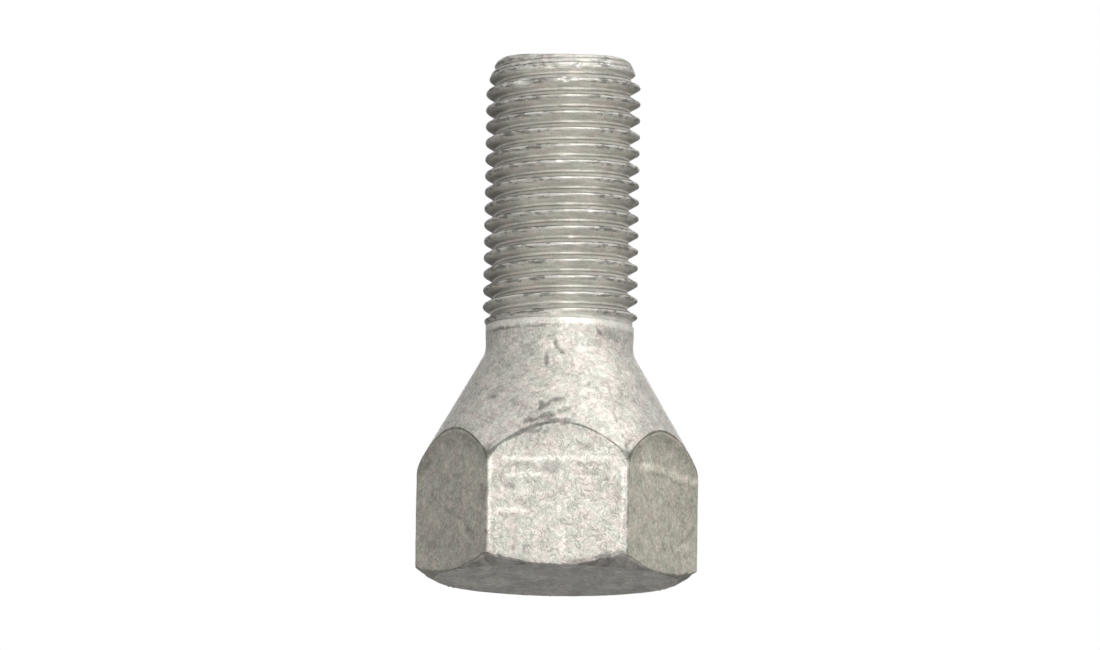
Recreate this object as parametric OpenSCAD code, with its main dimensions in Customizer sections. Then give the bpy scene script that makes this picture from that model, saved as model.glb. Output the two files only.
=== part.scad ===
// Wheel bolt with a conical seat, forged and rolled from one piece.
// It stands on the end face of its hexagon head, with the threaded shank pointing up.
// Lengths are in millimetres and angles in degrees. Z is the bolt's axis.

/* [Head] */
// Width of the hexagon across its flats
across_flats = 22.2; // [21:0.1:24]
// Height of the hexagon's corners, from the end face to the seat cone
corner_height = 10.2; // [9:0.1:12]
// Metal missing from each corner of the hexagon, which leaves a narrow land there
corner_land_depth = 0.08; // [0.02:0.01:0.3]
// Radius of the blend from each corner into the seat cone
corner_blend = 3; // [1:0.5:4]
// Angle between the bevel round the end face and the end face itself
end_bevel_angle = 30; // [20:1:40]
// Gap between the bevel's inner circle and the middle of each flat
end_bevel_inset = 0.1; // [0.05:0.05:0.5]

/* [Seat and neck] */
// Full angle of the seat cone
seat_angle = 60; // [55:1:65]
// Diameter of the plain neck between the seat and the thread
neck_diameter = 13.4; // [13:0.1:13.8]
// Radius of the fillet where the seat cone meets the neck
neck_fillet = 2; // [1:0.5:3]
// Length of the neck from the fillet's top to the shoulder
neck_length = 1.6; // [0.5:0.1:4]
// Height of the small bevel on the shoulder
shoulder_bevel = 0.15; // [0.1:0.05:0.3]

/* [Thread] */
// Outer diameter over the thread's crests
thread_diameter = 14; // [13.9:0.1:14.5]
// Distance from one crest to the next
thread_pitch = 1.5; // [1.25:0.05:1.75]
// Length from the shoulder to the tip
thread_length = 24.6; // [15:0.1:40]
// Diameter at the foot of the shoulder, where the thread begins
thread_foot_diameter = 13.1; // [12.9:0.1:13.2]
// Height over which the crests rise from there to their full diameter
crest_rise = 0.8; // [0.4:0.1:1.5]
// Turns over which the groove between the crests reaches its full depth
runout_turns = 2; // [1:0.25:3]
// Straight sides that make one turn of the groove
sides_per_turn = 40; // [32:4:48]

/* [Tip] */
// Diameter of the shank's end, inside the thread's lead
lead_diameter = 12.4; // [11.5:0.1:12.6]
// Height of the lead, over which the crests reach their full diameter
lead_height = 2.1; // [1.2:0.1:3]
// Size of the bevel round the tip
tip_bevel = 0.3; // [0.2:0.1:1]

/* [Hidden] */
$fn = 96;
steel_grey = [0.66, 0.65, 0.62];

seat_slope = seat_angle / 2;
end_face_radius = across_flats / 2 - end_bevel_inset;
head_radius = across_flats / 2 / cos(30) - corner_land_depth;
end_bevel_height = (head_radius - end_face_radius) * tan(end_bevel_angle);
neck_radius = neck_diameter / 2;
seat_top = corner_height + (head_radius - neck_radius) / tan(seat_slope);
fillet_reach = neck_fillet * tan(seat_slope / 2);
blend_reach = corner_blend * tan(seat_slope / 2);
shoulder = seat_top + fillet_reach + neck_length;
fillet_centre = [neck_radius + neck_fillet, seat_top + fillet_reach];
blend_centre = [head_radius - corner_blend, corner_height - blend_reach];

crest_radius = thread_diameter / 2;
thread_foot = shoulder + shoulder_bevel;
tip = shoulder + thread_length;
lead_foot = tip - tip_bevel - lead_height;

// Groove of a metric thread: 60 degrees between its sides, with an eighth of the pitch left as crest
groove_slope = 30;
crest_width = thread_pitch / 8;
root_width = thread_pitch / 6;
groove_depth = (thread_pitch - crest_width - root_width) / 2 / tan(groove_slope);
root_radius = crest_radius - groove_depth;
// The cutter reaches a little past the crests, by less than its own turns can stand
cutter_reach = crest_width / 3;
cutter_start = thread_foot - 1.1;
cutter_turns = ceil((tip - cutter_start) / thread_pitch + 0.6);

// Half outline of the whole bolt, with metal out to the fillet's centre
module straight_outline() {
    polygon([
        [0, 0],
        [end_face_radius, 0],
        [head_radius, end_bevel_height],
        [head_radius, corner_height],
        [neck_radius + fillet_reach * sin(seat_slope), seat_top - fillet_reach * cos(seat_slope)],
        fillet_centre,
        [neck_radius, seat_top + fillet_reach],
        [neck_radius, shoulder],
        [thread_foot_diameter / 2, thread_foot],
        [crest_radius, thread_foot + crest_rise],
        [crest_radius, lead_foot],
        [lead_diameter / 2, tip - tip_bevel],
        [lead_diameter / 2 - tip_bevel, tip],
        [0, tip],
    ]);
}

// Sliver of metal that the blend takes off the edge between the corners and the seat cone
module corner_blend_waste() {
    difference() {
        polygon([
            [head_radius, corner_height],
            [head_radius, corner_height - blend_reach],
            blend_centre,
            [head_radius - blend_reach * sin(seat_slope), corner_height + blend_reach * cos(seat_slope)],
        ]);
        translate(blend_centre)
            circle(r = corner_blend);
    }
}

module turned_body() {
    rotate_extrude() {
        difference() {
            straight_outline();
            translate(fillet_centre)
                circle(r = neck_fillet);
            corner_blend_waste();
        }
    }
}

module hexagon_bar() {
    cylinder(h = tip, r = across_flats / 2 / cos(30), $fn = 6);
}

// Root of the groove at a given number of turns from its start beside the neck
function root_at(turns) =
    turns < runout_turns
        ? crest_radius + cutter_reach / 2 - (groove_depth + cutter_reach / 2) * turns / runout_turns
        : root_radius;

// Four corners of the cutter's section, from the lower root round to the upper root
function cutter_section(step) =
    let (turns = step / sides_per_turn)
    let (angle = 360 * turns)
    let (z = cutter_start + thread_pitch * turns)
    let (inner = root_at(turns))
    let (outer = crest_radius + cutter_reach)
    let (half_root = root_width / 2)
    let (half_mouth = half_root + (outer - inner) * tan(groove_slope))
    [
        [inner * cos(angle), inner * sin(angle), z - half_root],
        [outer * cos(angle), outer * sin(angle), z - half_mouth],
        [outer * cos(angle), outer * sin(angle), z + half_mouth],
        [inner * cos(angle), inner * sin(angle), z + half_root],
    ];

// Two triangles between corner lines a and b of the cutter, from one step to the next
function cutter_strip(step, a, b) =
    let (here = 4 * step)
    let (next = here + 4)
    [
        [here + a, here + b, next + b],
        [here + a, next + b, next + a],
    ];

// Right-handed helical cutter that leaves the thread standing
module thread_cutter() {
    steps = cutter_turns * sides_per_turn;
    polyhedron(
        points = [for (step = [0:steps]) each cutter_section(step)],
        faces = [
            [3, 2, 1, 0],
            for (step = [0:steps - 1], a = [0:3]) each cutter_strip(step, a, (a + 1) % 4),
            [for (a = [0:3]) 4 * steps + a],
        ]
    );
}

module wheel_bolt() {
    color(steel_grey)
        difference() {
            intersection() {
                turned_body();
                hexagon_bar();
            }
            thread_cutter();
        }
}

wheel_bolt();
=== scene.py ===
"""Wheel bolt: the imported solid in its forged, rolled and zinc-coated looks, with floor, lamps and camera."""
import math

import bmesh
import bpy
from mathutils import Matrix, Vector, noise


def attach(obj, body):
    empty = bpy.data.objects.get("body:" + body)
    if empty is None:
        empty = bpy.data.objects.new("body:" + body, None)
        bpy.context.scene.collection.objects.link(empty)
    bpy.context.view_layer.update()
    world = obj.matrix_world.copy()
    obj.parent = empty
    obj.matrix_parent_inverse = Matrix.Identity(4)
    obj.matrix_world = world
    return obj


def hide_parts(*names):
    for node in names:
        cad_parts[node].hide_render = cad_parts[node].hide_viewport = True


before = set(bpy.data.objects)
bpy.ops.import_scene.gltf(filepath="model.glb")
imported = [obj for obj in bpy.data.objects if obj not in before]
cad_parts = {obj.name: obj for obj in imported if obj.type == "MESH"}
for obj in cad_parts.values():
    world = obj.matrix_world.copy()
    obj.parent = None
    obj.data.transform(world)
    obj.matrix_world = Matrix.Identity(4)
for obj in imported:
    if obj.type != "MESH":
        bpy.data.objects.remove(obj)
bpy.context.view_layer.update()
# Noise vectors start from the clock unless they are given a seed
noise.seed_set(1)

MM = 0.001

# Head, seat and neck, in millimetres, as the part's source has them
HALF_FLATS = 11.1
HEAD_RADIUS = 12.737
END_FACE_RADIUS = 11.0
END_BEVEL_SLOPE = math.tan(math.radians(30))
CORNER_HEIGHT = 10.2
SEAT_HALF_ANGLE = math.radians(30)
NECK_RADIUS = 6.7
NECK_FILLET = 2.0
NECK_LENGTH = 1.6
SHOULDER_BEVEL = 0.15

# Thread and tip, in millimetres
THREAD_LENGTH = 24.6
CREST_RADIUS = 7.0
ROOT_RADIUS = 6.08
PITCH = 1.5
CREST_WIDTH = PITCH / 8
FLANK_SLOPE = math.tan(math.radians(30))
THREAD_FOOT_RADIUS = 6.55
CREST_RISE = 0.8
RUNOUT_TURNS = 2.0
LEAD_RADIUS = 6.2
LEAD_HEIGHT = 2.1
TIP_BEVEL = 0.3

SEAT_TOP = CORNER_HEIGHT + (HEAD_RADIUS - NECK_RADIUS) / math.tan(SEAT_HALF_ANGLE)
SHOULDER = SEAT_TOP + NECK_FILLET * math.tan(SEAT_HALF_ANGLE / 2) + NECK_LENGTH
TIP = SHOULDER + THREAD_LENGTH
THREAD_FOOT = SHOULDER + SHOULDER_BEVEL
GROOVE_START = THREAD_FOOT - 1.1
# Smooth band that the rolling dies leave round the shoulder, half rubbed to bare steel and lighter with a
# painted highlight
BAND_FOOT = SHOULDER - 0.36
BAND_TOP = SHOULDER + 0.3


def smooth(low, high, value):
    """Rises from 0 at low to 1 at high with level ends."""
    share = min(1.0, max(0.0, (value - low) / (high - low)))
    return share * share * (3 - 2 * share)


def move_to(vertex, radius, angle, height):
    """Puts a vertex at a radius, angle and height given in millimetres."""
    vertex.co = Vector((radius * math.cos(angle), radius * math.sin(angle), height)) * MM


# Head, seat cone and neck

# Columns of points round the head, which crowd towards its corners
COLUMNS = 6 * 106
CORNER_CROWDING = 0.5
# Radius to which each upright corner of the hexagon is worn
CORNER_ROUNDING = 0.52
# Steps round each rounded corner of an outline
ARC_STEPS = 6
FRONT = -math.pi / 2
# Where the head's outline turns, as numbered along it
CORNERS = {"end_edge": 1, "flat_foot": 2, "arch": 3, "shoulder": 5}
# Largest gap between points that are merged into one
MERGE_GAP = 0.0005 * MM


def from_front(angle):
    """Angle to the right of the middle of the front, from half a turn back to half a turn on."""
    return (angle - FRONT + math.pi) % (2 * math.pi) - math.pi


def from_corner(angle):
    """Angle from the nearest corner of the hexagon, negative before it."""
    return (angle + math.pi / 6) % (math.pi / 3) - math.pi / 6


def crowded_to_corners(angle):
    """Draws the mesh's columns towards the hexagon's six corners."""
    return angle - CORNER_CROWDING / 6 * math.sin(6 * angle)


def hexagon_radius(angle):
    """Distance from the axis to the hexagon's wall, whose corners are a little rounded."""
    turned = from_corner(angle)
    centre = (HALF_FLATS - CORNER_ROUNDING) / math.cos(math.pi / 6)
    aside = centre * math.sin(turned)
    if abs(aside) < CORNER_ROUNDING / 2 * math.cos(turned):
        return centre * math.cos(turned) + math.sqrt(CORNER_ROUNDING ** 2 - aside ** 2)
    return HALF_FLATS / math.cos(math.pi / 6 - abs(turned))


def arch_height(angle):
    """Height at which the seat cone comes down to the hexagon's wall."""
    return CORNER_HEIGHT + (HEAD_RADIUS - hexagon_radius(angle)) / math.tan(SEAT_HALF_ANGLE)


def ragged(angle, wave, seed):
    """Uneven forging along the rim, from -1 to 1, with a wave length in millimetres."""
    reach = HALF_FLATS / wave
    return noise.noise(Vector((math.cos(angle) * reach, math.sin(angle) * reach, seed)))


def near_front(angle, aside, width):
    """1 at a distance beside the middle of the front flat, fading to 0 over a width, in millimetres."""
    turned = from_front(angle)
    return smooth(width, 0.0, abs(math.tan(turned) * HALF_FLATS - aside)) if abs(turned) < 1 else 0.0


def rounded_path(corners):
    """Points along a path of (radius, height, rounding, steps to the next corner).

    Each comes with the number of the corner it rounds, or 0, and its share of the way round it.
    """
    points = []
    for index, (radius, height, rounding, steps) in enumerate(corners):
        here = Vector((radius, height))
        if index in (0, len(corners) - 1) or rounding == 0:
            end = here
            points.append((here, index, 0.5))
        else:
            back = Vector(corners[index - 1][:2]) - here
            ahead = Vector(corners[index + 1][:2]) - here
            half_turn = (math.pi - back.angle(ahead)) / 2
            reach = rounding * math.tan(half_turn)
            start = here + back.normalized() * reach
            end = here + ahead.normalized() * reach
            for step in range(ARC_STEPS + 1):
                share = step / ARC_STEPS
                first = start.lerp(here, share)
                second = here.lerp(end, share)
                points.append((first.lerp(second, share), index, share))
        if index < len(corners) - 1:
            points.append(("run", steps, end))
    path = []
    for index, item in enumerate(points):
        if item[0] == "run":
            steps, start = item[1], item[2]
            goal = points[index + 1][0]
            path += [(start.lerp(goal, step / steps), 0, 0.0) for step in range(1, steps)]
        else:
            path.append(item)
    return path


def foot_height(angle):
    """Height of the uneven edge between the hexagon's wall and the bevel round the end face."""
    foot = (hexagon_radius(angle) - END_FACE_RADIUS) * END_BEVEL_SLOPE
    burr = near_front(angle, 4.0, 3.0)
    foot += 0.12 * ragged(angle, 1.4, 11) + (0.09 + 0.12 * burr) * ragged(angle, 0.5, 17) + 0.18 * burr
    return max(foot, 0.03)


def head_outline(angle):
    """Half outline of head, seat and neck in the plane at an angle round the axis."""
    wall = hexagon_radius(angle)
    shape = (wall - HALF_FLATS) / (HEAD_RADIUS - HALF_FLATS)
    blend = 0.8 + 2.2 * smooth(0.7, 1.0, shape) + 0.25 * ragged(angle, 1.3, 3)
    blend += 1.3 * near_front(angle, -3.2, 3.0)
    return rounded_path([
        (0.0, 0.0, 0, 8),
        (END_FACE_RADIUS + 0.06 * ragged(angle, 1.1, 23), 0.0, 0.15, 4),
        (wall, foot_height(angle), 0.14, 46),
        (wall, arch_height(angle), blend, 40),
        (NECK_RADIUS, SEAT_TOP, NECK_FILLET, 12),
        (NECK_RADIUS, BAND_TOP, 0.08, 3),
        (THREAD_FOOT_RADIUS, BAND_TOP + 0.08, 0.04, 3),
        (THREAD_FOOT_RADIUS - 1, BAND_TOP + 0.08, 0, 1),
    ])


def forging_dip(place):
    """Depth in millimetres of the shallow waves and dents that forging leaves, at a place in millimetres."""
    waves = 0.5 + 0.5 * noise.noise(place * 0.28)
    dents = 0.5 + 0.5 * noise.noise(place * 1.1 + Vector((7, 0, 0)))
    pits = max(0.0, noise.noise(place * 2.4 + Vector((0, 5, 0))) - 0.25)
    return 0.05 * waves + 0.022 * dents + 0.05 * pits


def painted_shade_on_head(corner, share, angle, height):
    """Painted shade, from 0 to 1: dark lines in the edges of the arches, the corners and the foot of the
    flats, a darker end bevel and shoulder, and darker tops of the flats under the arches.
    """
    arch = arch_height(angle)
    beside_corner = abs(from_corner(angle)) * HEAD_RADIUS
    patchy = 0.85 + 0.4 * ragged(angle, 0.9, 31)
    point = smooth(0.5, 0.1, beside_corner)
    upright = smooth(0.24, 0.08, beside_corner)
    upright *= 0.65 + 0.5 * noise.noise(Vector((angle, 7, height * 1.3)))
    if corner == CORNERS["arch"]:
        line = smooth(0.45, 0.1, abs(share - 0.35)) * patchy
        return max(line, 0.5 * upright, 0.5 * point)
    if corner == CORNERS["flat_foot"]:
        return max(1.1 * patchy * smooth(0.6, 0.1, abs(share - 0.6)), 0.5 * point)
    if corner == CORNERS["shoulder"]:
        return 0.3 * patchy
    if corner == CORNERS["end_edge"] and share < 0.6 or height <= 0:
        return 0.0
    if corner == CORNERS["end_edge"] or not corner and height < foot_height(angle):
        return 0.65 * patchy + 0.3 * near_front(angle, 4.0, 3.2)
    if corner or not 0.3 < height < arch:
        return 0.0
    under_arch = 0.25 if near_front(angle, 0.0, 6.4) else 0.5
    return max(0.85 * upright, under_arch * smooth(3.0, 0.0, arch - height))


def flat_shade(angle, height):
    """Painted shade on the flats, from 0 to 1: 1 on most of them, less on the left one, 0 on the front one and
    off the flats.
    """
    turned = from_front(angle)
    if abs(turned) < math.pi / 6 or not foot_height(angle) <= height <= arch_height(angle):
        return 0.0
    return 0.75 if -math.pi / 2 < turned < 0 else 1.0


# Marks on the front, each a stroke of (x, z, x, z, width) in millimetres
SCUFFS = (
    (-1.5, 15.3, -1.7, 14.1, 0.5), (-1.9, 14.4, -0.5, 15.0, 0.55), (-1.1, 14.9, 0.5, 15.4, 0.45),
    (-3.4, 12.9, -1.4, 13.4, 0.5), (-2.0, 13.2, 0.0, 13.9, 0.8), (-0.6, 13.8, 1.3, 14.4, 0.5),
    (-3.4, 12.2, -1.2, 12.85, 0.5), (-1.7, 12.95, 1.8, 13.1, 0.6), (-0.6, 21.0, -0.1, 20.2, 0.45),
    (-0.3, 20.3, 0.6, 19.5, 0.3), (-1.2, 20.0, -1.25, 18.2, 0.5), (3.3, 22.3, 4.0, 21.4, 0.4),
    (-6.3, 22.3, -3.4, 22.25, 0.26), (-3.6, 22.25, -0.4, 22.35, 0.2),
    (6.1, 11.0, 6.9, 11.7, 0.3), (6.0, 11.3, 6.2, 10.7, 0.25), (-3.3, 11.9, -0.6, 12.3, 0.35),
    (0.4, 0.15, 3.4, 0.45, 0.5), (2.8, 0.5, 5.9, 1.1, 0.65), (5.0, 1.3, 6.2, 1.2, 0.3),
    (-5.9, 1.15, -4.6, 0.7, 0.25),
)
FAINT_SCUFFS = (
    (2.3, 16.4, 2.9, 17.0, 0.3), (2.9, 17.0, 3.5, 16.3, 0.3), (-5.0, 19.0, -4.2, 18.1, 0.6),
    (-6.4, 15.7, -5.5, 15.4, 0.45), (3.6, 22.0, 6.0, 21.4, 0.9), (-5.7, 9.0, -2.4, 8.95, 0.4),
    (-3.1, 8.95, 1.2, 9.05, 0.45), (0.8, 9.1, 4.1, 9.15, 0.3), (-2.6, 8.5, 0.6, 8.5, 0.7),
    (0.6, 8.25, 4.0, 8.3, 0.5), (3.2, 7.1, 4.0, 7.7, 0.35), (3.9, 7.7, 4.7, 7.9, 0.35),
    (-5.4, 7.3, -3.4, 6.8, 0.7), (7.6, 8.85, 10.2, 9.0, 0.45), (9.9, 9.0, 10.9, 8.5, 0.4),
    (10.6, 8.55, 12.75, 8.7, 0.45), (11.6, 3.6, 12.75, 5.3, 0.35), (11.0, 3.0, 12.0, 4.0, 0.35),
    (1.1, 11.1, 3.3, 10.5, 0.7), (-4.5, 6.0, -2.5, 5.2, 0.5), (-0.5, 7.6, 0.9, 6.2, 0.35),
    (-10.2, 6.0, -9.3, 5.0, 0.5), (-9.6, 8.8, -8.4, 8.3, 0.4), (8.6, 3.2, 8.9, 1.6, 0.3),
    (9.6, 3.3, 9.9, 1.7, 0.3), (10.4, 3.0, 10.6, 1.8, 0.3), (5.2, 17.2, 6.0, 15.6, 0.5),
    (-3.0, 20.8, -2.2, 19.4, 0.5), (4.9, 14.4, 5.4, 13.0, 0.4), (-7.2, 13.6, -6.2, 13.0, 0.4),
    (-12.2, 9.6, -11.2, 10.9, 0.6), (-7.2, 10.8, -6.4, 9.0, 0.7), (-6.9, 7.6, -6.6, 5.0, 0.5),
    (-12.0, 3.4, -10.6, 2.2, 0.5), (-8.9, 6.9, -8.5, 5.6, 0.35), (-8.2, 3.8, -7.4, 2.2, 0.5),
    (-11.4, 7.8, -10.9, 6.4, 0.4),
)
# Raised lips and corner lands, which get a painted highlight
HIGHLIGHTED_LIPS = (
    (-5.4, 9.55, 1.0, 9.6, 0.5), (-0.5, 9.6, 5.7, 9.7, 0.5), (-5.4, 8.1, -0.4, 8.15, 0.4),
    (-5.7, 4.9, -2.1, 4.9, 0.4), (6.9, 9.25, 10.6, 9.5, 0.75), (9.6, 9.55, 11.3, 8.9, 0.7),
    (10.2, 9.0, 13.4, 9.1, 0.85), (-1.5, 13.5, 1.0, 14.3, 0.24), (-6.15, 10.0, -6.1, 7.2, 0.5),
    (-6.1, 7.4, -6.05, 2.0, 0.3), (5.85, 9.0, 5.8, 5.0, 0.3), (5.8, 5.5, 5.75, 2.0, 0.25),
)
# Half of a stroke's reach, past its own ends and sides, as shares of its length and width
STROKE_HALF_LENGTH = 0.62
STROKE_HALF_WIDTH = 0.75


def stroke_strength(place, marks):
    """How strongly tapered strokes cover a place, seen from the front."""
    nearest = 1.0
    for start_x, start_z, end_x, end_z, width in marks:
        right, up = place.x - (start_x + end_x) / 2, place.z - (start_z + end_z) / 2
        length = math.hypot(end_x - start_x, end_z - start_z)
        if abs(right) + abs(up) > length + 1:
            continue
        toward_x, toward_z = (end_x - start_x) / length, (end_z - start_z) / length
        along = (right * toward_x + up * toward_z) / (STROKE_HALF_LENGTH * length)
        across = (up * toward_x - right * toward_z) / (STROKE_HALF_WIDTH * width)
        nearest = min(nearest, math.hypot(along, across))
    return smooth(1.0, 0.35, nearest)


def shaken(place):
    """A place pushed about a little, so that strokes get ragged edges."""
    return place + 0.16 * noise.noise_vector(place * 1.2) + 0.10 * noise.noise_vector(place * 3.5)


# Strokes start at this height, which keeps the end face clean
ABOVE_END_FACE = 0.1


def forge_head(mesh):
    """Spins a line of points round the axis, then lays each column on the outline at its angle."""
    count = len(head_outline(0.0))
    line = [mesh.verts.new((MM, 0, row * MM)) for row in range(count)]
    edges = [mesh.edges.new(pair) for pair in zip(line, line[1:])]
    bmesh.ops.spin(mesh, geom=line + edges, cent=(0, 0, 0), axis=(0, 0, 1), dvec=(0, 0, 0),
                   angle=math.pi / 3, steps=COLUMNS // 6, use_merge=False, use_duplicate=False)
    sixth = mesh.verts[:] + mesh.edges[:] + mesh.faces[:]
    for side in range(1, 6):
        copy = bmesh.ops.duplicate(mesh, geom=sixth)["geom"]
        corners = [item for item in copy if isinstance(item, bmesh.types.BMVert)]
        bmesh.ops.rotate(mesh, verts=corners, matrix=Matrix.Rotation(side * math.pi / 3, 3, "Z"))
    bmesh.ops.remove_doubles(mesh, verts=mesh.verts[:], dist=MERGE_GAP)
    painted_shade_and_scuffs = mesh.verts.layers.float.new("painted_shade_and_scuffs")
    rubbed = mesh.verts.layers.float.new("rubbed")
    painted_highlight = mesh.verts.layers.float.new("painted_highlight")
    painted_flat_shade = mesh.verts.layers.float.new("painted_flat_shade")
    outlines = {}
    for vertex in mesh.verts:
        row = round(vertex.co.z / MM)
        column = round(math.atan2(vertex.co.y, vertex.co.x) / (2 * math.pi) * COLUMNS) % COLUMNS
        angle = crowded_to_corners(column / COLUMNS * 2 * math.pi)
        if column not in outlines:
            outlines[column] = head_outline(angle)
        (radius, height), corner, share = outlines[column][row]
        move_to(vertex, radius, angle, height)
        # Painted shade in the head's edges and creases and under its arches
        vertex[painted_shade_and_scuffs] = painted_shade_on_head(corner, share, angle, height)
        # Painted shade on the flats that face away from the front
        vertex[painted_flat_shade] = flat_shade(angle, height)
        # The band is half rubbed to bare steel and gets a painted highlight
        on_band = smooth(BAND_FOOT, BAND_FOOT + 0.12, height)
        vertex[rubbed] = 0.5 * on_band
        vertex[painted_highlight] = on_band
    bmesh.ops.remove_doubles(mesh, verts=mesh.verts[:], dist=MERGE_GAP)
    bmesh.ops.recalc_face_normals(mesh, faces=mesh.faces[:])
    mesh.normal_update()
    for vertex in mesh.verts:
        place = vertex.co / MM
        depth = forging_dip(place) * smooth(BAND_FOOT, BAND_FOOT - 1.0, place.z)
        if place.y < 0 and ABOVE_END_FACE < place.z < BAND_FOOT:
            seen = shaken(place)
            scuff = stroke_strength(seen, SCUFFS)
            faint = stroke_strength(seen, FAINT_SCUFFS)
            highlighted_lip = stroke_strength(seen, HIGHLIGHTED_LIPS)
            # The lips get a painted highlight; the scuffs are real marks, darker and sunk
            vertex[painted_highlight] = max(highlighted_lip, vertex[painted_highlight])
            vertex[painted_shade_and_scuffs] = max(vertex[painted_shade_and_scuffs], 0.7 * scuff, 0.42 * faint)
            depth += 0.05 * scuff + 0.03 * faint - 0.02 * highlighted_lip
        vertex.co -= vertex.normal * max(depth, 0) * MM
        vertex.co.z = max(vertex.co.z, 0.0)


# Thread and tip

SIDES_PER_TURN = 128
# Distances from the middle of the groove to the points across half a pitch
HALF_PITCH_POINTS = (0.06, 0.094, 0.13, 0.27, 0.42, 0.56, 0.625, 0.68)
# Radius of the plain screwed sheet, before the thread takes shape
SHEET_RADIUS = 5.0 * MM
SHEET_FOOT = GROOVE_START - PITCH / 2
# Largest gap between one turn of the sheet and the next
TURN_GAP = 0.002 * MM
# The threaded piece starts inside the bright band, and its tip has two rings of edges round its bevel
THREAD_START = THREAD_FOOT - 0.3
TIP_EDGES = (TIP - TIP_BEVEL - 0.06, TIP - TIP_BEVEL + 0.06)
# Height of the groove's root above the crests where the groove begins
SHALLOW_END = 0.03


def groove_root(turns):
    """Radius at the bottom of the groove, a number of turns from its start."""
    share = min(1.0, max(0.0, turns / RUNOUT_TURNS))
    return CREST_RADIUS + SHALLOW_END - (CREST_RADIUS + SHALLOW_END - ROOT_RADIUS) * share


def envelope(height):
    """Largest radius of the threaded shank at a height."""
    foot = THREAD_FOOT_RADIUS + (CREST_RADIUS - THREAD_FOOT_RADIUS) * (height - THREAD_FOOT) / CREST_RISE
    lead_foot = TIP - TIP_BEVEL - LEAD_HEIGHT
    lead = CREST_RADIUS - (CREST_RADIUS - LEAD_RADIUS) * (height - lead_foot) / LEAD_HEIGHT
    bevel = LEAD_RADIUS - (height - TIP + TIP_BEVEL)
    return min(CREST_RADIUS, max(foot, THREAD_FOOT_RADIUS), lead, bevel)


def thread_form(offset):
    """Radius of the thread at an axial distance from the middle of a crest."""
    distance = abs(offset)
    flank = CREST_RADIUS - (distance - CREST_WIDTH / 2) / FLANK_SLOPE
    return max(ROOT_RADIUS, min(CREST_RADIUS, flank))


def roll_thread(mesh):
    """Screws a line one pitch long round the axis, then stacks copies of that turn up the shank."""
    lower = [-value for value in reversed(HALF_PITCH_POINTS)]
    offsets = [-PITCH / 2, *lower, 0.0, *HALF_PITCH_POINTS]
    line = [mesh.verts.new((SHEET_RADIUS, 0, (SHEET_FOOT + PITCH / 2 + value) * MM)) for value in offsets]
    line.append(mesh.verts.new((SHEET_RADIUS, 0, (SHEET_FOOT + PITCH) * MM)))
    edges = [mesh.edges.new(pair) for pair in zip(line, line[1:])]
    bmesh.ops.spin(mesh, geom=line + edges, cent=(0, 0, 0), axis=(0, 0, 1),
                   dvec=(0, 0, PITCH / SIDES_PER_TURN * MM), angle=2 * math.pi,
                   steps=SIDES_PER_TURN, use_merge=False, use_duplicate=False)
    one_turn = mesh.verts[:] + mesh.edges[:] + mesh.faces[:]
    for turn in range(1, math.ceil((TIP - SHEET_FOOT) / PITCH) + 1):
        copy = bmesh.ops.duplicate(mesh, geom=one_turn)["geom"]
        corners = [item for item in copy if isinstance(item, bmesh.types.BMVert)]
        bmesh.ops.translate(mesh, verts=corners, vec=(0, 0, turn * PITCH * MM))
    bmesh.ops.remove_doubles(mesh, verts=mesh.verts[:], dist=TURN_GAP)


def trim(mesh, height, upper):
    """Cuts everything above or below a height away, and closes the hole."""
    normal = (0, 0, 1 if upper else -1)
    geom = mesh.verts[:] + mesh.edges[:] + mesh.faces[:]
    cut = bmesh.ops.bisect_plane(mesh, geom=geom, dist=0.001 * MM, plane_co=(0, 0, height * MM),
                                 plane_no=normal, clear_outer=True)
    rim = [item for item in cut["geom_cut"] if isinstance(item, bmesh.types.BMEdge)]
    bmesh.ops.contextual_create(mesh, geom=rim)


def score(mesh, height):
    """Adds a ring of edges round the thread at a height."""
    geom = mesh.verts[:] + mesh.edges[:] + mesh.faces[:]
    bmesh.ops.bisect_plane(mesh, geom=geom, dist=0.001 * MM, plane_co=(0, 0, height * MM), plane_no=(0, 0, 1))


# Places where the thread is nicked: height, degrees to the right of the front, half width and depth
NICKS = (
    (44.55, -31, 8.0, 0.42), (45.6, -8, 2.5, 0.30), (45.9, 11, 2.5, 0.25), (44.6, 1, 4.0, 0.30),
    (44.65, 9, 2.0, 0.20), (45.5, 26, 2.0, 0.15), (44.7, -50, 4.0, 0.2),
    (43.1, -48, 5.0, 0.16), (37.6, 0, 1.8, 0.22), (33.2, 22, 2.2, 0.26), (30.2, 9, 4.0, 0.18),
    (39.0, -34, 3.0, 0.14), (27.2, -30, 6.0, 0.15), (25.7, 30, 5.0, 0.15), (24.2, -12, 9.0, 0.2),
    (41.5, 120, 4.0, 0.25), (35.6, 165, 3.0, 0.2), (44.8, 200, 7.0, 0.3), (29.0, 240, 3.5, 0.2),
)
NICK_HEIGHT = 0.55


def nick_depth(height, angle):
    """Depth of the nicks at a height in millimetres and an angle round the axis."""
    depth = 0.0
    for nick_height, place, half_width, deepest in NICKS:
        across = math.degrees(from_front(angle - math.radians(place))) / half_width
        up = (height - nick_height) / NICK_HEIGHT
        depth = max(depth, deepest * smooth(1.0, 0.5, math.hypot(across, up)))
    return depth


def crest_wear(height, angle):
    """How far the crests are flattened and broken by chips, in millimetres, most of all on the first threads.
    """
    place = Vector((math.cos(angle) * 7, math.sin(angle) * 7, height * 2))
    chips = max(0.0, noise.noise(place * 1.3) - 0.15)
    first_threads = smooth(TIP - 4.5, TIP - 1.5, height)
    return 0.03 * (0.5 + 0.5 * noise.noise(place * 0.6)) + (0.06 + 0.25 * first_threads) * chips


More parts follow.
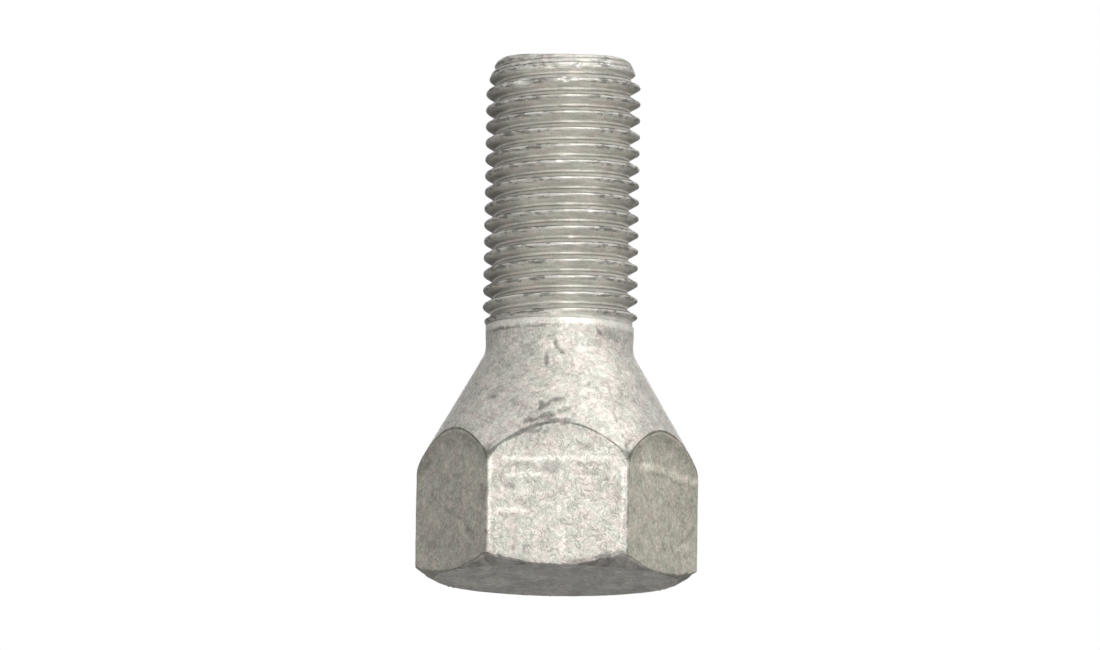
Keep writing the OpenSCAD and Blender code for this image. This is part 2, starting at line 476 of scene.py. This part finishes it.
def shape_thread(mesh):
    """Lays every point of the screwed sheet on the worn thread, and marks its crests, flanks and roots: wear
    and chips on the crests, painted shade on their sides, and painted highlight and shade along roots and
    flanks.
    """
    painted_shade_and_scuffs = mesh.verts.layers.float.new("painted_shade_and_scuffs")
    rubbed = mesh.verts.layers.float.new("rubbed")
    painted_highlight = mesh.verts.layers.float.new("painted_highlight")
    chips_and_painted_shade = mesh.verts.layers.float.new("chips_and_painted_shade")
    for vertex in mesh.verts:
        height = vertex.co.z / MM
        angle = math.atan2(vertex.co.y, vertex.co.x)
        turn = (angle / (2 * math.pi)) % 1.0
        along = (height - GROOVE_START) / PITCH - turn
        groove = round(along)
        offset = (along - groove) * PITCH
        crest_offset = PITCH / 2 - abs(offset)
        fresh = min(max(thread_form(crest_offset), groove_root(groove + turn)), envelope(height))
        nick = nick_depth(height, angle)
        limit = envelope(height) - crest_wear(height, angle) - nick
        radius = min(fresh, max(limit, ROOT_RADIUS))
        worn_end = 0.2 * smooth(0.6, 0.0, TIP - height) * smooth(5.5, 1.0, abs(radius * math.cos(angle)))
        move_to(vertex, radius, angle, height - worn_end * (math.sin(angle) < 0))
        on_thread = smooth(THREAD_FOOT - 0.1, THREAD_FOOT + 0.6, height)
        vertex[rubbed] = max(smooth(0.16, 0.04, crest_offset) * on_thread, smooth(0.06, 0.2, nick))
        near_crest = max(smooth(0.36, 0.12, crest_offset), 0.6 * smooth(TIP - 1.4, TIP - 0.8, height))
        # Real chips, fewer where the crests catch the front highlight, so that they also lay painted shade on
        # the crests' sides
        bright_front = smooth(2.8, 1.0, abs(radius * math.cos(angle) - 0.9)) * (math.sin(angle) < 0)
        vertex[chips_and_painted_shade] = near_crest * on_thread * smooth(0.2, 0.06, nick) * (1 - 0.65 * bright_front)
        # Painted highlight along each root, and painted shade just below it and just above each crest
        vertex[painted_highlight] = 0.6 * smooth(0.14, 0.02, abs(offset - 0.08)) * on_thread
        root_line = 0.65 * smooth(0.13, 0.03, abs(offset + 0.14))
        crest_line = 0.75 * smooth(0.09, 0.02, abs(offset + 0.6))
        vertex[painted_shade_and_scuffs] = max(root_line, crest_line) * on_thread


def finished_piece(name, mesh):
    """Turns a mesh under construction into a smooth-shaded object with its faces outwards."""
    bmesh.ops.recalc_face_normals(mesh, faces=mesh.faces[:])
    for face in mesh.faces:
        face.smooth = True
    data = bpy.data.meshes.new(name)
    mesh.to_mesh(data)
    mesh.free()
    piece = bpy.data.objects.new(name, data)
    bpy.context.scene.collection.objects.link(piece)
    return piece


def make_head():
    head = bmesh.new()
    forge_head(head)
    last_row = [edge for edge in head.edges if edge.is_boundary]
    bmesh.ops.contextual_create(head, geom=last_row)
    return finished_piece("forged_head", head)


def make_thread():
    thread = bmesh.new()
    roll_thread(thread)
    trim(thread, THREAD_START, upper=False)
    for height in TIP_EDGES:
        score(thread, height)
    trim(thread, TIP, upper=True)
    shape_thread(thread)
    return finished_piece("rolled_thread", thread)


# Materials

def add(tree, kind, inputs, **settings):
    """Adds a node. An input is a value, or the socket that feeds it."""
    node = tree.nodes.new(kind)
    for name, value in settings.items():
        setattr(node, name, value)
    for name, value in inputs.items():
        if isinstance(value, bpy.types.NodeSocket):
            tree.links.new(value, node.inputs[name])
        else:
            node.inputs[name].default_value = value
    return node


def maths(tree, operation, first, second=0.0):
    return add(tree, "ShaderNodeMath", {0: first, 1: second}, operation=operation).outputs[0]


def times(tree, first, second):
    return maths(tree, "MULTIPLY", first, second)


def level(tree, value, low, high, bottom=0.0, top=1.0):
    """Takes a value from low to high over to bottom to top, with level ends."""
    ends = {"Value": value, "From Min": low, "From Max": high, "To Min": bottom, "To Max": top}
    return add(tree, "ShaderNodeMapRange", ends, interpolation_type="SMOOTHSTEP").outputs["Result"]


def where(tree, share, tone):
    """A tone where the share is 1, fading to no change where it is 0."""
    return add(tree, "ShaderNodeMix", {"Factor": share, "A": 1.0, "B": tone}).outputs["Result"]


def blend(tree, share, first, second):
    """A colour between two others."""
    mix = add(tree, "ShaderNodeMix", {"Factor": share, "A": first, "B": second}, data_type="RGBA")
    return mix.outputs["Result"]


def cloud(tree, place, scale, detail=3.0, distortion=0.0):
    """A noise whose scale is in features to the millimetre."""
    inputs = {"Vector": place, "Scale": scale, "Detail": detail, "Roughness": 0.6, "Distortion": distortion}
    return add(tree, "ShaderNodeTexNoise", inputs).outputs["Fac"]


def squiggles(tree, place, scale, half_width, distortion=0.7):
    """Thin wandering lines, where a noise passes through its middle value."""
    offset = maths(tree, "SUBTRACT", cloud(tree, place, scale, 1.0, distortion), 0.5)
    return level(tree, maths(tree, "ABSOLUTE", offset), half_width, 0.0)


def moved(tree, place, offset, scale=(1, 1, 1)):
    inputs = {"Vector": place, "Location": offset, "Scale": scale}
    return add(tree, "ShaderNodeMapping", inputs).outputs["Vector"]


def painted(tree, mark):
    """A mark from 0 to 1 that the mesh carries in an attribute of that name."""
    return add(tree, "ShaderNodeAttribute", {}, attribute_name=mark).outputs["Fac"]


WHITE = (1, 1, 1, 1)
GREENISH_ZINC = (0.555, 0.555, 0.495, 1)
BROWNISH_ZINC = (0.615, 0.56, 0.515, 1)
BARE_STEEL = (0.63, 0.615, 0.58, 1)
# Darker, yellower tint of the painted shade on the flats
FLAT_SHADE_TINT = (0.875, 0.865, 0.805, 1)
FLOOR_GREY = (0.86, 0.86, 0.86, 1)
SMOKE = (0.3, 0.3, 0.3, 1)


def forging_marks(tree, place, forged):
    """Mottling, and dark, fine and light squiggles, which are all weak where little is forged."""
    mottling = cloud(tree, moved(tree, place, (11, 0, 0)), 1.3, 5.0, 1.2)
    mottling = where(tree, forged, level(tree, mottling, 0.32, 0.68, 0.84, 1.14))
    patchy = level(tree, cloud(tree, moved(tree, place, (0, 23, 0)), 0.7), 0.38, 0.58)
    patchy = times(tree, patchy, forged)
    dark_lines = times(tree, squiggles(tree, place, 1.4, 0.08), patchy)
    fine_lines = times(tree, squiggles(tree, moved(tree, place, (0, 17, 17)), 2.6, 0.10), forged)
    light_lines = times(tree, squiggles(tree, moved(tree, place, (0, 0, 31)), 1.6, 0.08), forged)
    light_lines = times(tree, light_lines, level(tree, patchy, 0, 1, 1.0, 0.4))
    return mottling, dark_lines, fine_lines, light_lines


def chip_and_shade_flecks(tree, place):
    """Dark flecks where the mesh marks the crests' chips, with painted shade on the crests' sides."""
    flecks = cloud(tree, moved(tree, place, (3, 7, 1), (1, 1, 3)), 1.1, 4.0, 0.5)
    return times(tree, painted(tree, "chips_and_painted_shade"), level(tree, flecks, 0.46, 0.57))


def end_face_rubs(tree, place, height):
    """Light and dark smears along the end face."""
    rubs = cloud(tree, moved(tree, place, (0, 0, 3), (0.7, 0.14, 1)), 1.0, 4.0, 0.6)
    return where(tree, level(tree, height, 0.12, 0.02), level(tree, rubs, 0.35, 0.65, 0.84, 1.2))


def zinc_colour(tree, place, rolled, tone):
    """Zinc grey of a changing hue, at a tone, with a darker, yellower tint of painted shade where the mesh
    marks the flats.
    """
    hue = level(tree, cloud(tree, moved(tree, place, (0, 9, 9)), 0.9, 4.0), 0.35, 0.65)
    hue = times(tree, hue, level(tree, rolled, 0, 1, 1.0, 0.75))
    zinc = blend(tree, hue, GREENISH_ZINC, BROWNISH_ZINC)
    zinc = add(tree, "ShaderNodeVectorMath", {0: zinc, 3: tone}, operation="SCALE").outputs["Vector"]
    # Painted shade on the flats away from the front
    tint = blend(tree, painted(tree, "painted_flat_shade"), WHITE, FLAT_SHADE_TINT)
    return add(tree, "ShaderNodeVectorMath", {0: zinc, 1: tint}, operation="MULTIPLY").outputs["Vector"]


def zinc_flake_coat():
    """Matt zinc coat over forged steel: mottled, scratched, rubbed on its crests, with painted shade in its
    edges and on the side flats and painted highlights on lips, band and thread roots.
    """
    material = bpy.data.materials.new("zinc_flake_coat")
    material.use_nodes = True
    tree = material.node_tree
    shader = tree.nodes["Principled BSDF"]
    place = add(tree, "ShaderNodeTexCoord", {}).outputs["Object"]
    place = add(tree, "ShaderNodeVectorMath", {0: place, 3: 1 / MM}, operation="SCALE").outputs["Vector"]
    height = add(tree, "ShaderNodeSeparateXYZ", {"Vector": place}).outputs["Z"]
    rolled = level(tree, height, SHOULDER - 0.3, SHOULDER + 0.3)
    forged = level(tree, rolled, 0, 1, 1.0, 0.35)

    mottling, dark_lines, fine_lines, light_lines = forging_marks(tree, place, forged)
    grain = cloud(tree, place, 7.0, 2.0)
    streaks = cloud(tree, moved(tree, place, (5, 5, 0), (0.5, 0.5, 5)), 1.2, 4.0)
    rolling_lines = times(tree, maths(tree, "SUBTRACT", streaks, 0.5), rolled)
    flecks = chip_and_shade_flecks(tree, place)

    tone = times(tree, level(tree, cloud(tree, place, 0.2), 0.3, 0.7, 0.90, 1.10), mottling)
    for shade in (
        level(tree, grain, 0.3, 0.7, 0.93, 1.07),
        level(tree, dark_lines, 0, 1, 1.0, 0.76),
        level(tree, fine_lines, 0, 1, 1.03, 0.88),
        level(tree, light_lines, 0, 1, 1.0, 1.2),
        level(tree, flecks, 0, 1, 1.0, 0.44),
        level(tree, rolling_lines, -0.2, 0.2, 0.84, 1.16),
        # Painted highlight, and painted shade that shares its channel with real scuffs
        level(tree, painted(tree, "painted_highlight"), 0, 1, 1.0, 1.36),
        level(tree, painted(tree, "painted_shade_and_scuffs"), 0, 1, 1.0, 0.34),
        end_face_rubs(tree, place, height),
    ):
        tone = times(tree, tone, shade)

    worn = times(tree, painted(tree, "rubbed"), maths(tree, "SUBTRACT", 1.0, flecks))
    worn = times(tree, worn, level(tree, streaks, 0.4, 0.6, 0.15, 1.0))
    colour = blend(tree, worn, zinc_colour(tree, place, rolled, tone), BARE_STEEL)
    roughness = times(tree, level(tree, worn, 0, 1, 0.36, 0.20), level(tree, grain, 0.3, 0.7, 0.9, 1.1))
    tree.links.new(colour, shader.inputs["Base Color"])
    tree.links.new(level(tree, worn, 0, 1, 0.20, 0.36), shader.inputs["Metallic"])
    tree.links.new(roughness, shader.inputs["Roughness"])
    shader.inputs["Specular IOR Level"].default_value = 0.12
    shader.inputs["Specular Tint"].default_value = (0.4, 0.4, 0.4, 1)

    relief = maths(tree, "ADD", times(tree, mottling, 1.2), times(tree, grain, 0.35))
    relief = maths(tree, "SUBTRACT", relief, times(tree, dark_lines, 0.5))
    relief = maths(tree, "ADD", relief, times(tree, light_lines, 0.3))
    relief = times(tree, relief, forged)
    relief = maths(tree, "ADD", relief, times(tree, times(tree, streaks, rolled), 1.2))
    bump = add(tree, "ShaderNodeBump", {"Height": relief, "Strength": 0.6, "Distance": 0.035 * MM})
    tree.links.new(bump.outputs["Normal"], shader.inputs["Normal"])
    return material


def pale_floor_from_above():
    """Pale and matt for a camera above it, clear for one below it, and smoky for all other light."""
    material = bpy.data.materials.new("pale_floor")
    material.use_nodes = True
    tree = material.node_tree
    tree.nodes.clear()
    camera_ray = add(tree, "ShaderNodeLightPath", {}).outputs["Is Camera Ray"]
    from_below = add(tree, "ShaderNodeNewGeometry", {}).outputs["Backfacing"]
    seen = add(tree, "ShaderNodeMath", {0: camera_ray, 1: from_below}, operation="SUBTRACT", use_clamp=True)
    clear = add(tree, "ShaderNodeBsdfTransparent", {"Color": blend(tree, camera_ray, SMOKE, WHITE)})
    pale = add(tree, "ShaderNodeBsdfDiffuse", {"Color": FLOOR_GREY})
    mix = add(tree, "ShaderNodeMixShader", {0: seen.outputs[0], 1: clear.outputs[0], 2: pale.outputs[0]})
    add(tree, "ShaderNodeOutputMaterial", {0: mix.outputs[0]})
    return material


def make_floor():
    floor_mesh = bmesh.new()
    bmesh.ops.create_grid(floor_mesh, x_segments=1, y_segments=1, size=1.5)
    bmesh.ops.translate(floor_mesh, verts=floor_mesh.verts[:], vec=(0, 0, -0.05 * MM))
    mesh = bpy.data.meshes.new("floor")
    floor_mesh.to_mesh(mesh)
    floor_mesh.free()
    floor = bpy.data.objects.new("floor", mesh)
    floor.data.materials.append(pale_floor_from_above())
    bpy.context.scene.collection.objects.link(floor)


# Light and camera

# The photo's camera: it looks up a little, with the bolt's middle near the middle of the picture
IMAGE_WIDTH = 1100
PIXELS_PER_MM = 11.067
CAMERA_DISTANCE = 1400.0
CAMERA_BELOW = math.radians(8.39)
CAMERA_ROLL = math.radians(0.91)
AIM_HEIGHT = 24.0
SHIFT_RIGHT = 0.90
SHIFT_UP = 0.67

# Square lamps round the bolt, in metres: name, degrees to the right of the front, elevation, size and watts
LAMP_DISTANCE = 0.7
LAMPS = (
    ("key_high", 20, 50, 0.45, 2.0),
    ("high_right", 72, 58, 0.35, 1.4),
    ("high_left", -50, 60, 0.45, 0.12),
    ("front", 14, 8, 0.32, 1.87),
    ("front_right", 44, 9, 0.2, 0.5),
    ("fill_left", -40, 20, 0.45, 0.34),
    ("front_low", 0, -48, 0.45, 7.6),
    ("back", 180, 25, 0.3, 0.9),
)
BACKGROUND_STRENGTH = 1.0
WORLD_STRENGTH = 0.06


def make_world():
    """White to the camera, in gloss and through glass, and dim as a light."""
    world = bpy.data.worlds.new("studio")
    bpy.context.scene.world = world
    world.use_nodes = True
    tree = world.node_tree
    tree.nodes.clear()
    rays = add(tree, "ShaderNodeLightPath", {}).outputs
    shown = maths(tree, "MAXIMUM", rays["Is Camera Ray"], rays["Is Glossy Ray"])
    shown = maths(tree, "MAXIMUM", shown, rays["Is Transmission Ray"])
    dim = add(tree, "ShaderNodeBackground", {"Color": WHITE, "Strength": WORLD_STRENGTH})
    white = add(tree, "ShaderNodeBackground", {"Color": WHITE, "Strength": BACKGROUND_STRENGTH})
    mix = add(tree, "ShaderNodeMixShader", {0: shown, 1: dim.outputs[0], 2: white.outputs[0]})
    add(tree, "ShaderNodeOutputWorld", {0: mix.outputs[0]})


def make_lamps():
    """Softboxes that all face the bolt's middle."""
    for name, azimuth, elevation, size, watts in LAMPS:
        light = bpy.data.lights.new(name, "AREA")
        light.size = size
        light.energy = watts
        lamp = bpy.data.objects.new(name, light)
        turn, rise = math.radians(azimuth), math.radians(elevation)
        out = Vector((math.sin(turn) * math.cos(rise), -math.cos(turn) * math.cos(rise), math.sin(rise)))
        lamp.location = Vector((0, 0, AIM_HEIGHT * MM)) + out * LAMP_DISTANCE
        lamp.rotation_euler = out.to_track_quat("Z", "Y").to_euler()
        bpy.context.scene.collection.objects.link(lamp)


def make_camera():
    camera_data = bpy.data.cameras.new("camera")
    camera_data.sensor_width = 36
    camera_data.lens = PIXELS_PER_MM * CAMERA_DISTANCE / IMAGE_WIDTH * camera_data.sensor_width
    camera = bpy.data.objects.new("camera", camera_data)
    forward = Vector((0, math.cos(CAMERA_BELOW), math.sin(CAMERA_BELOW)))
    level_up = Vector((0, -math.sin(CAMERA_BELOW), math.cos(CAMERA_BELOW)))
    level_right = Vector((1, 0, 0))
    right = level_right * math.cos(CAMERA_ROLL) + level_up * math.sin(CAMERA_ROLL)
    up = level_up * math.cos(CAMERA_ROLL) - level_right * math.sin(CAMERA_ROLL)
    place = Vector((0, 0, AIM_HEIGHT)) - forward * CAMERA_DISTANCE - right * SHIFT_RIGHT - up * SHIFT_UP
    turn = Matrix((right, up, -forward)).transposed().to_4x4()
    camera.matrix_world = Matrix.Translation(place * MM) @ turn
    bpy.context.scene.collection.objects.link(camera)
    bpy.context.scene.camera = camera


coat = zinc_flake_coat()
for piece in (make_head(), make_thread()):
    piece.data.materials.append(coat)
    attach(piece, "root")
    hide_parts("wheel_bolt")
make_floor()
make_world()
make_lamps()
make_camera()
bpy.context.scene.view_settings.view_transform = "Standard"
